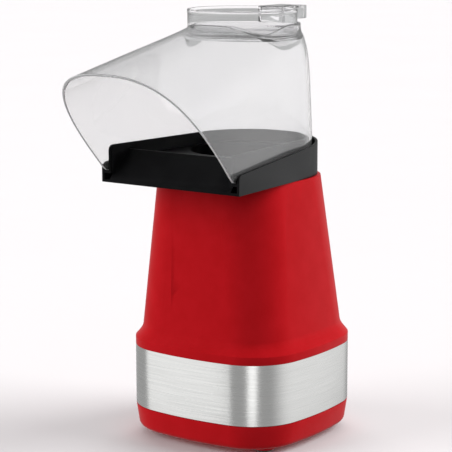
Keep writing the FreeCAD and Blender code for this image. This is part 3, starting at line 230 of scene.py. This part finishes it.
def material(name, colour, other, rough, grain=(900, 0.02), blotch=60, metallic=0.0, wear=0.0,
             stretch=None, fixed=None):
    """A surface that drifts from colour to other, with varying roughness, fine grain and worn edges."""
    made = bpy.data.materials.new(name)
    made.use_nodes = True
    tree = made.node_tree
    shader = tree.nodes["Principled BSDF"]
    place = new_node(tree, "ShaderNodeTexCoord").outputs["Object"]
    drift = noise(tree, place, blotch, 4, 0.6, stretch)
    tint = mixed(tree, between(tree, drift, 0, 1), (*colour, 1), (*other, 1))
    if wear:
        paler = [min(1, c * 1.4 + 0.02) for c in colour]
        tint = mixed(tree, worn_edges(tree, wear), tint, (*paler, 1))
    tree.links.new(tint, shader.inputs["Base Color"])
    smudge = noise(tree, place, blotch * 0.5, 6, 0.7, stretch)
    tree.links.new(between(tree, smudge, *rough), shader.inputs["Roughness"])
    scale, depth = grain
    fine = noise(tree, place, scale, 2, 0.5, stretch)
    bump = new_node(tree, "ShaderNodeBump", {"Height": fine, "Strength": depth * 10, "Distance": BUMP_HEIGHT})
    tree.links.new(bump.outputs[0], shader.inputs["Normal"])
    shader.inputs["Metallic"].default_value = metallic
    for key, value in (fixed or {}).items():
        shader.inputs[key].default_value = value
    return made


def clear_material(name, pale, deep, through):
    """Moulded clear plastic: a grey-white veil over what lies behind, faint flow marks and fine scuffs."""
    made = bpy.data.materials.new(name)
    made.use_nodes = True
    tree = made.node_tree
    shader = tree.nodes["Principled BSDF"]
    place = new_node(tree, "ShaderNodeTexCoord").outputs["Object"]
    flow = noise(tree, place, 14, 3, 0.5)
    tint = mixed(tree, between(tree, flow, 0, 1), (*pale, 1), (*deep, 1))
    tree.links.new(tint, shader.inputs["Base Color"])
    scuffs = noise(tree, place, 320, 6, 0.75, (1, 1, 0.25))
    tree.links.new(between(tree, scuffs, 0.0, 0.05), shader.inputs["Roughness"])
    wave = new_node(tree, "ShaderNodeBump", {"Height": flow, "Strength": 0.06, "Distance": 0.002})
    tree.links.new(wave.outputs[0], shader.inputs["Normal"])
    shader.inputs["Transmission Weight"].default_value = through
    shader.inputs["IOR"].default_value = 1.45
    return made


RECIPES = {
    "red_plastic": dict(colour=(0.43, 0.006, 0.010), other=(0.40, 0.005, 0.008), rough=(0.28, 0.36),
                        grain=(1400, 0.006), wear=0.2, fixed={"Specular IOR Level": 0.05}),
    "rubber_pad": dict(colour=(0.02, 0.02, 0.02), other=(0.035, 0.034, 0.033), rough=(0.7, 0.9),
                       grain=(2500, 0.05)),
    "screw_steel": dict(colour=(0.55, 0.55, 0.56), other=(0.47, 0.47, 0.47), rough=(0.22, 0.38),
                        grain=(2500, 0.02), metallic=1.0),
    "band_steel": dict(colour=(0.68, 0.68, 0.67), other=(0.62, 0.62, 0.61), rough=(0.24, 0.32),
                       grain=(420, 0.008), blotch=24, metallic=1.0, stretch=(1, 1, 60),
                       fixed={"Anisotropic": 0.8, "Anisotropic Rotation": 0.25}),
    "black_plastic": dict(colour=(0.0045, 0.0045, 0.005), other=(0.007, 0.007, 0.0075), rough=(0.28, 0.38),
                          grain=(2600, 0.008), wear=0.3, fixed={"Specular IOR Level": 0.06}),
    "chamber_aluminium": dict(colour=(0.72, 0.72, 0.73), other=(0.64, 0.64, 0.65), rough=(0.28, 0.42),
                              grain=(300, 0.02), metallic=1.0, stretch=(1, 1, 30)),
    "silicone": dict(colour=(0.62, 0.58, 0.54), other=(0.55, 0.52, 0.49), rough=(0.6, 0.75),
                     grain=(2200, 0.03)),
    "zinc_sheet": dict(colour=(0.50, 0.51, 0.53), other=(0.40, 0.41, 0.43), rough=(0.35, 0.55),
                       grain=(700, 0.02), blotch=120, metallic=0.9),
    "mica": dict(colour=(0.55, 0.47, 0.33), other=(0.40, 0.34, 0.24), rough=(0.3, 0.6), grain=(500, 0.06),
                 blotch=220),
    "heater_wire": dict(colour=(0.62, 0.52, 0.40), other=(0.42, 0.36, 0.32), rough=(0.3, 0.5),
                        grain=(3000, 0.03), metallic=1.0),
    "grey_plastic": dict(colour=(0.30, 0.29, 0.27), other=(0.26, 0.25, 0.24), rough=(0.4, 0.55),
                         grain=(1600, 0.03), wear=0.2),
    "thermostat_metal": dict(colour=(0.60, 0.60, 0.58), other=(0.50, 0.50, 0.48), rough=(0.3, 0.45),
                             grain=(1800, 0.02), metallic=1.0),
    "motor_iron": dict(colour=(0.20, 0.19, 0.18), other=(0.12, 0.10, 0.09), rough=(0.45, 0.7),
                       grain=(1500, 0.05), blotch=160, metallic=0.8),
    "board_laminate": dict(colour=(0.34, 0.22, 0.08), other=(0.26, 0.16, 0.05), rough=(0.45, 0.6),
                           grain=(2600, 0.05), stretch=(1, 6, 1)),
    "diode_black": dict(colour=(0.02, 0.02, 0.022), other=(0.035, 0.035, 0.037), rough=(0.3, 0.5),
                        grain=(3000, 0.03)),
    "lead_insulation": dict(colour=(0.62, 0.60, 0.55), other=(0.54, 0.52, 0.47), rough=(0.4, 0.55),
                            grain=(2500, 0.03)),
    # painted highlight: the hood's cut edge is given a pale, part-opaque colour in place of the bright line
    # that light carried along the clear wall makes there
    "rim_painted_highlight": dict(colour=(0.9, 0.9, 0.9), other=(0.8, 0.8, 0.81), rough=(0.25, 0.4),
                      grain=(900, 0.01), fixed={"Transmission Weight": 0.35}),
}
CLEAR_RECIPES = {
    "clear_plastic": dict(pale=(0.97, 0.975, 0.975), deep=(0.95, 0.955, 0.96), through=0.935),
    "clear_cup": dict(pale=(0.995, 0.995, 0.995), deep=(0.98, 0.985, 0.99), through=0.985),
}
MATERIALS = {name: material(name, **recipe) for name, recipe in RECIPES.items()}
MATERIALS.update({name: clear_material(name, **recipe) for name, recipe in CLEAR_RECIPES.items()})
SLOT = {part["node"]: part["material_slot"] for part in frame["record"]["subparts"]}


def floor():
    mesh = bpy.data.meshes.new("floor")
    corners = [(-1, -1), (1, -1), (1, 1), (-1, 1)]
    mesh.from_pydata([(x * FLOOR_REACH, y * FLOOR_REACH, 0) for x, y in corners], [], [(0, 1, 2, 3)])
    sheet = bpy.data.objects.new("floor", mesh)
    bpy.context.scene.collection.objects.link(sheet)
    mesh.materials.append(material("floor_paper", **FLOOR_PAPER))
    sheet.visible_glossy = False
    sheet.visible_diffuse = False
    sheet.visible_shadow = False


def dress(thing, name):
    """Put a material in a piece's first slot."""
    slots = thing.data.materials
    if slots:
        slots[0] = MATERIALS[name]
    else:
        slots.append(MATERIALS[name])


for node, thing in frame["nodes"].items():
    thing.data.materials.clear()
    dress(thing, SLOT[node])


# ---------------------------------------------------------------- mesh helpers
WELD = 0.01          # mm; points nearer than this are one point


def shifted_mesh(name, verts, faces):
    """A mesh from vertices in mm about the chamber's axis."""
    mesh = bpy.data.meshes.new(name)
    mesh.from_pydata([(x * MM, y * MM + AXIS_Y, z * MM) for x, y, z in verts], [], faces)
    return mesh


def weld(mesh, distance):
    """Join points that lie together, and turn every face outwards."""
    work = bmesh.new()
    work.from_mesh(mesh)
    bmesh.ops.remove_doubles(work, verts=work.verts, dist=distance * MM)
    bmesh.ops.recalc_face_normals(work, faces=work.faces)
    work.to_mesh(mesh)
    work.free()


def add_piece(name, mesh, slot, body, stands_for, sharp, finish=None):
    """A smooth-shaded piece that rides on a body and stands for a CAD node."""
    mesh.shade_smooth()
    mesh.set_sharp_from_angle(angle=math.radians(sharp))
    piece = bpy.data.objects.new(name, mesh)
    bpy.context.scene.collection.objects.link(piece)
    dress(piece, finish or slot)
    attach(piece, body)
    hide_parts(stands_for)
    return piece


def closed_grid(rows):
    """Vertices and faces of a surface whose rows are rings of equal length, closed by a pole at each end."""
    count = len(rows[0])
    verts = [tuple(point) for row in rows for point in row]
    faces = []
    for i in range(len(rows) - 1):
        for j in range(count):
            k = (j + 1) % count
            faces.append((i * count + j, i * count + k, (i + 1) * count + k, (i + 1) * count + j))
    for end in (0, len(rows) - 1):
        verts.append(tuple(np.mean(rows[end], axis=0)))
        for j in range(count):
            faces.append((end * count + j, end * count + (j + 1) % count, len(verts) - 1))
    return verts, faces


def lengths(path):
    """How far along a polyline each of its points lies."""
    return np.concatenate([[0], np.cumsum(np.linalg.norm(np.diff(path, axis=0), axis=1))])


def resampled(path, count):
    """count points at equal spacing along a polyline."""
    along = lengths(path)
    wanted = np.linspace(0, along[-1], count)
    return np.stack([np.interp(wanted, along, path[:, i]) for i in range(path.shape[1])], axis=1)


def cut_from(path, signed):
    """The part of a polyline after signed first turns positive, starting exactly where it does."""
    i = int(np.argmax(signed > 0))
    if i == 0:
        return path
    share = signed[i - 1] / (signed[i - 1] - signed[i])
    return np.vstack([path[i - 1] + share * (path[i] - path[i - 1]), path[i:]])


# ---------------------------------------------------------------- hood
HOOD_WALL = 2.0
HOOD_CENTRE = 6.9                    # y of the round back's own axis
HOOD_FOOT = TRAY_BOTTOM + 9.9
HOOD_SPRING = 252.0                  # where the upright sides begin to arch
HOOD_HALF, HOOD_TAPER = 55.0, 0.1    # half width at the back, and how fast it grows forwards
HOOD_ONSET = 25.0                    # length over which the growth begins
HOOD_EASE_Y, HOOD_EASE = -85.0, 60.0     # where the growth eases off, and over what length
HOOD_LEAN = 0.041                    # how much the sides lean in as they arch
CROWN = 351.0
RIDGE_BEND_Y, RIDGE_BEND, RIDGE_SLOPE = -25.19, 23.31, 0.2145   # start, length, and slope after it
SQUARE_MOUTH, SQUARE_EXTRA = 2.6, 3.4    # squareness of the arch at the mouth, and more over the chamber
SQUARE_LENGTH, SQUARE_POWER = 27.0, 1.5
MOUTH_Y, MOUTH_Z = -102.7, TRAY_BOTTOM + 8.0
MOUTH_LEAN = math.radians(43)

COLLAR_OUTER, COLLAR_INNER = 48.5, 46.5
COLLAR_TOP = 348.5
COLLAR_DIP, DIP_ANGLE, DIP_SPREAD = 7.1, 56.0, 34.0
COLLAR_ROUND = 0.7                   # depth of the collar's rounded top edge
RECESS_BOTTOM, RECESS_FLOOR = 335.0, 337.0
RECESS_ROUND = 1.2                   # radius in the recess's corner
POLE = 4.0                           # radius of the innermost ring, inside which a pole closes the surface
ROOT_SOFTNESS, ROOT_SHARE, ROOT_LEAST = 9.0, 0.8, 0.3   # rounding between the collar and the dome

MERIDIAN_STEPS, SEARCH_STEPS, SEARCH_REACH = 260, 40, 400
OUTER_POINTS, INNER_POINTS, HOOD_TURNS = 88, 72, 361
RIM_SHARES = (0.2, 0.5, 0.8)         # rings across the hood's cut edge, between its two corners
RIM_START = 110                      # the ring at that edge's outer corner
RIM_ROUND = 0.25                     # how far the corner rings draw back, as a share of their spacing


def hood_section(y):
    """Half width, ridge height and squareness of the hood's arch at one y."""
    forward = HOOD_CENTRE - y
    early = np.minimum(forward, HOOD_ONSET)
    late = HOOD_EASE_Y - y
    eased = np.clip(late, 0, HOOD_EASE)
    spread = early**2 / (2 * HOOD_ONSET) + (forward - early) - eased**2 / (2 * HOOD_EASE)
    spread -= np.maximum(late - HOOD_EASE, 0)
    bend = np.clip(RIDGE_BEND_Y - y, 0, RIDGE_BEND)
    fall = bend**2 / (2 * RIDGE_BEND) + np.maximum(RIDGE_BEND_Y - RIDGE_BEND - y, 0)
    square = SQUARE_MOUTH + SQUARE_EXTRA * np.exp(-((np.maximum(forward, 0) / SQUARE_LENGTH) ** SQUARE_POWER))
    return HOOD_HALF + HOOD_TAPER * spread, CROWN - RIDGE_SLOPE * fall, square


def hood_inside(x, y, z, inset):
    """Below zero inside the hood's surface, moved in by inset."""
    behind = y > HOOD_CENTRE
    across = np.where(behind, np.hypot(x, y - HOOD_CENTRE), np.abs(x))
    half, ridge, square = hood_section(np.where(behind, HOOD_CENTRE, y))
    rise = ridge - inset - HOOD_SPRING
    up = np.maximum(z - HOOD_SPRING, 0) / rise
    wide = half - inset - HOOD_LEAN * rise * up
    return (across / wide) ** square + up**square - 1


def hood_meridian(turn, inset):
    """Points down the hood's surface in the upright half-plane at one angle about the chamber's axis."""
    tilt = np.radians(np.linspace(89.5, 0, MERIDIAN_STEPS))
    east, north, rise = np.cos(tilt) * math.cos(turn), np.cos(tilt) * math.sin(turn), np.sin(tilt)
    low, high = np.zeros_like(tilt), np.full_like(tilt, SEARCH_REACH)
    for _ in range(SEARCH_STEPS):
        middle = (low + high) / 2
        inside = hood_inside(east * middle, north * middle, HOOD_SPRING + rise * middle, inset) < 0
        low, high = np.where(inside, middle, low), np.where(inside, high, middle)
    arch = np.stack([east * low, north * low, HOOD_SPRING + rise * low], axis=1)
    drop = np.linspace(HOOD_SPRING, HOOD_FOOT, 30)[1:]
    side = np.stack([np.full_like(drop, arch[-1, 0]), np.full_like(drop, arch[-1, 1]), drop], axis=1)
    path = np.vstack([arch, side])
    kept = (path[:, 1] - MOUTH_Y) * math.cos(MOUTH_LEAN) + (path[:, 2] - MOUTH_Z) * math.sin(MOUTH_LEAN)
    if kept[-1] < 0:
        path = cut_from(path[::-1], kept[::-1])[::-1]
    return path


def collar_top(turn):
    """The collar's top edge dips in a smooth wave on each side of the front."""
    from_front = abs((math.degrees(turn) + 90 + 180) % 360 - 180)
    off = min(abs(from_front - DIP_ANGLE) / DIP_SPREAD, 1)
    return COLLAR_TOP - COLLAR_DIP * math.cos(off * math.pi / 2) ** 2


def collar_root(outer, height):
    """The outer wall's path with the collar's wall above it, joined by a rounded corner."""
    corner = outer[0]
    tall = height - corner[2]
    if tall < ROOT_LEAST:
        return outer
    soft = min(ROOT_SHARE * tall, ROOT_SOFTNESS)
    rest = cut_from(outer, lengths(outer) - soft)
    above = corner + np.array([0, 0, soft])
    bend = [(1 - t) ** 2 * above + 2 * t * (1 - t) * corner + t**2 * rest[0] for t in np.linspace(0, 1, 9)[:-1]]
    return np.vstack([corner + np.array([0, 0, tall]), bend, rest])


def hood_column(turn):
    """One closed run of points: recess floor, collar, outer wall, rim, inner wall, recess underside."""
    east, north = math.cos(turn), math.sin(turn)
    outer = hood_meridian(turn, 0)
    outer = cut_from(outer, np.hypot(outer[:, 0], outer[:, 1]) - COLLAR_OUTER)
    inner = hood_meridian(turn, HOOD_WALL)
    clear = np.maximum(np.hypot(inner[:, 0], inner[:, 1]) - COLLAR_OUTER, RECESS_BOTTOM - inner[:, 2])
    inner = resampled(cut_from(inner, clear), INNER_POINTS)
    top = max(collar_top(turn), outer[0, 2] + 0.2)

    profile = [(r, RECESS_FLOOR) for r in np.linspace(POLE, COLLAR_INNER - RECESS_ROUND, 12)]
    profile += [(COLLAR_INNER - 0.35, RECESS_FLOOR + 0.35), (COLLAR_INNER, RECESS_FLOOR + RECESS_ROUND)]
    profile += [(COLLAR_INNER, z) for z in np.linspace(RECESS_FLOOR + 2, top - COLLAR_ROUND, 6)]
    profile += [(COLLAR_INNER + 0.3, top - 0.15), (COLLAR_INNER + 1, top), (COLLAR_OUTER - 0.3, top - 0.15)]
    points = [(r * east, r * north, z) for r, z in profile]

    outer = resampled(collar_root(outer, top - COLLAR_ROUND), OUTER_POINTS)
    edge_out, edge_in = outer[-1], inner[-1]
    rim = [edge_out + share * (edge_in - edge_out) for share in RIM_SHARES]
    outer[-1] += RIM_ROUND * (outer[-2] - outer[-1])
    inner[-1] += RIM_ROUND * (inner[-2] - inner[-1])
    points += [tuple(p) for p in (*outer, *rim, *inner[::-1])]

    reach = math.hypot(inner[0, 0], inner[0, 1])
    points += [(inner[0, 0], inner[0, 1], z) for z in np.linspace(inner[0, 2], RECESS_BOTTOM, 5)[1:]]
    points += [(r * east, r * north, RECESS_BOTTOM) for r in np.linspace(reach, POLE, 12)[1:]]
    return points


def hood():
    """The whole hood as one surface; the faces across its cut edge get a pale, part-opaque material that paints
    on the bright line of light along that edge.
    """
    corner = math.atan2(MOUTH_Y, hood_section(np.array(MOUTH_Y))[0])
    turns = sorted([*np.linspace(-math.pi, math.pi, HOOD_TURNS)[:-1], corner, -math.pi - corner])
    columns = [hood_column(turn) for turn in turns]
    rows = [[column[i] for column in columns] for i in range(len(columns[0]))]
    mesh = shifted_mesh("clear_hood", *closed_grid(rows))
    for i in range(RIM_START * len(turns), (RIM_START + len(RIM_SHARES) + 1) * len(turns)):
        mesh.polygons[i].material_index = 1
    weld(mesh, WELD)
    piece = add_piece("clear_hood", mesh, "clear_plastic", "hood", "hood", sharp=50)
    piece.data.materials.append(MATERIALS["rim_painted_highlight"])


# ---------------------------------------------------------------- measuring cup
CUP_FLOOR, CUP_TOP = RECESS_FLOOR + 0.3, 360.0
CUP_PROFILE = [                      # radius and height above the cup's underside
    (4, 0), (20, 0), (36, 0), (43.4, 0), (44.9, 0.5), (45.6, 1.6), (45.8, 3), (45.8, 8), (45.8, 18.9),
    (45.85, 19.5), (46.05, 19.8), (46.1, 20.2), (46.1, 22), (45.85, 22.5), (45.4, 22.7), (44.7, 22.68),
    (44.15, 22.45), (43.9, 21.9), (44.0, 20.2), (44.2, 19), (44.2, 9), (44.2, 4.2),
    (43.8, 3), (42.8, 2.25), (41.3, 2), (34, 2), (18, 2), (4, 2)]
CUP_TURNS = 193
CORE_RADIUS, CORE_BOTTOM, CORE_TOP = 45.0, 330.0, 370.0      # the tab stops at the bowl's wall
TAB_HALF, TAB_END, TAB_DROP, TAB_WALL, TAB_TOP = 14.0, 77.7, 11.2, 3.0, 2.0
TAB_ROOT, TAB_ROOT_INSIDE = 44.6, 38.6
TAB_CORNER, TAB_CORNER_LEAST, TAB_EDGE = 1.6, 0.8, 0.5


def arc(centre, reach, start, end, steps):
    turns = np.radians(np.linspace(start, end, steps + 1))
    return [(centre[0] + reach * math.cos(t), centre[1] + reach * math.sin(t)) for t in turns]


def prism(outline, heights, insets):
    """Rings of one outline at several heights, each moved in by an inset, closed at both ends."""
    centre = np.mean(outline, axis=0)
    rows = []
    for z, inset in zip(heights, insets):
        row = []
        for point in outline:
            way = np.array(point) - centre
            row.append((*(np.array(point) - way / np.linalg.norm(way) * inset), z))
        rows.append(row)
    return closed_grid(rows)


def tab_outline(wall, root):
    """The tab's outline from above, moved in by a wall, from its root by the bowl."""
    half, end, corner = TAB_HALF - wall, TAB_END - wall, max(TAB_CORNER - wall, TAB_CORNER_LEAST)
    return ([(half, root)] + arc((half - corner, end - corner), corner, 0, 90, 5)
            + arc((-half + corner, end - corner), corner, 90, 180, 5) + [(-half, root)])


def combined(first, second, operation):
    """first with a boolean of second applied; second is taken away."""
    change = first.modifiers.new("join", "BOOLEAN")
    change.operation = operation
    change.solver = "EXACT"
    change.object = second
    shape = bpy.data.meshes.new_from_object(first.evaluated_get(bpy.context.evaluated_depsgraph_get()))
    first.modifiers.remove(change)
    first.data = shape
    bpy.data.objects.remove(second)
    return first


def loose(name, verts, faces):
    """A helper object for a boolean, not dressed and not kept."""
    mesh = shifted_mesh(name, verts, faces)
    weld(mesh, WELD / 10)
    made = bpy.data.objects.new(name, mesh)
    bpy.context.scene.collection.objects.link(made)
    return made


def round_rows(profile, turns):
    """Rings about the chamber's axis, one for each radius and height."""
    return [[(r * math.cos(t), r * math.sin(t), z) for t in turns] for r, z in profile]


def measuring_cup():
    """The bowl, joined to a tab that is hollow from below."""
    turns = np.linspace(0, 2 * math.pi, CUP_TURNS)[:-1]
    bowl = loose("bowl", *closed_grid(round_rows([(r, CUP_FLOOR + z) for r, z in CUP_PROFILE], turns)))
    low, ceiling = CUP_TOP - TAB_DROP, CUP_TOP - TAB_TOP
    tab = loose("tab", *prism(tab_outline(0, TAB_ROOT),
                              [low, low + TAB_EDGE, CUP_TOP - TAB_EDGE, CUP_TOP - 0.15, CUP_TOP - 0.02],
                              [TAB_EDGE, 0, 0, 0.15, TAB_EDGE]))
    under = loose("under", *prism(tab_outline(TAB_WALL, TAB_ROOT_INSIDE),
                                  [low - 1, ceiling - TAB_EDGE, ceiling], [0, 0, TAB_EDGE]))
    core = loose("core", *closed_grid(round_rows([(CORE_RADIUS, CORE_BOTTOM), (CORE_RADIUS, CORE_TOP)], turns)))
    tab = combined(tab, under, "DIFFERENCE")
    tab = combined(tab, core, "DIFFERENCE")
    bowl = combined(bowl, tab, "UNION")
    mesh = bowl.data
    bpy.data.objects.remove(bowl)
    weld(mesh, WELD)
    add_piece("clear_cup", mesh, "clear_plastic", "cup", "measuring_cup", sharp=35, finish="clear_cup")


# ---------------------------------------------------------------- softened copies of moulded pieces
EDGE_ROUNDS = {                      # how wide each piece's rounded edges are, in mm
    "chute_tray": 0.45, "trim_band": 0.2, "base_tray": 0.5, "housing": 0.5, "foot_pads": 0.4,
    "switch_body": 0.3, "switch_rocker": 0.3, "cord_gland": 0.3}
FLAT_ANGLE, EDGE_ANGLE = 0.3, 30     # faces that meet at less are one face; edges at more are rounded
SAME_POINT = 0.002                   # mm


def softened(node, width):
    """A copy of a CAD node with its flat faces joined up and its sharp edges rounded."""
    source = frame["nodes"][node]
    mesh = source.data.copy()
    work = bmesh.new()
    work.from_mesh(mesh)
    bmesh.ops.remove_doubles(work, verts=work.verts, dist=SAME_POINT * MM)
    bmesh.ops.dissolve_limit(work, angle_limit=math.radians(FLAT_ANGLE), use_dissolve_boundaries=False,
                             verts=work.verts, edges=work.edges)
    sharp = math.radians(EDGE_ANGLE)
    edges = [e for e in work.edges if len(e.link_faces) == 2 and e.calc_face_angle() > sharp]
    bmesh.ops.bevel(work, geom=edges, offset=width * MM, offset_type="OFFSET", segments=2, profile=0.6,
                    affect="EDGES", clamp_overlap=True, material=-1)
    bmesh.ops.triangulate(work, faces=[f for f in work.faces if len(f.verts) > 4])
    work.to_mesh(mesh)
    work.free()
    return add_piece(node + "_moulded", mesh, SLOT[node], source["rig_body"], node, sharp=50)


hood()
measuring_cup()
moulded = {node: softened(node, width) for node, width in EDGE_ROUNDS.items()}

camera()
floor()
world()
for settings in SUNS:
    sun(*settings)
for *settings, node in CARDS:
    card(*settings, moulded[node])
bpy.context.scene.view_settings.view_transform = "Standard"
